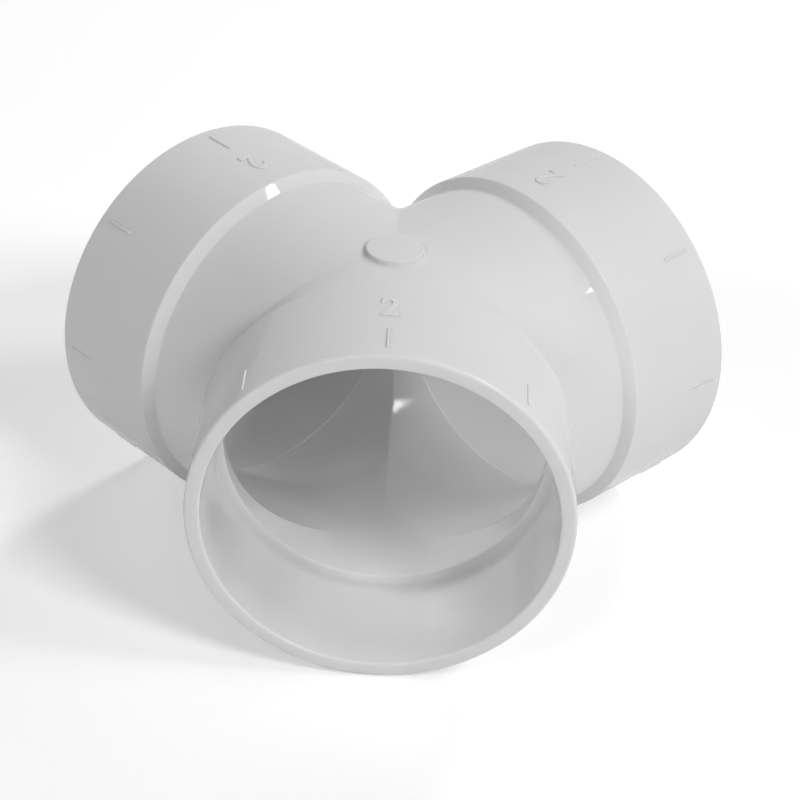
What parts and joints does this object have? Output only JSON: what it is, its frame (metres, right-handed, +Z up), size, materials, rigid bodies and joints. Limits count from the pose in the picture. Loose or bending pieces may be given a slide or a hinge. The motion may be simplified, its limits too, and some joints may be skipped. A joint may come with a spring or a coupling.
{
  "type": "double tee fitting",
  "caption": "Moulded white plastic duct fitting: straight arms with tube sockets meet at a level Y junction, with sloping hub shoulders and raised alignment ticks.",
  "frame": {"origin": "under the middle of the fitting's box, on the surface that it lies on", "axes": "+X across the rear sockets, -Y out of the front socket, +Z up"},
  "size_m": [0.1024, 0.0826, 0.056],
  "materials": {
    "white_pvc": "glossy moulded white, satin inside"
  },
  "bodies": {
    "root": {"fitting_body": "white_pvc"}
  },
  "joints": []
}
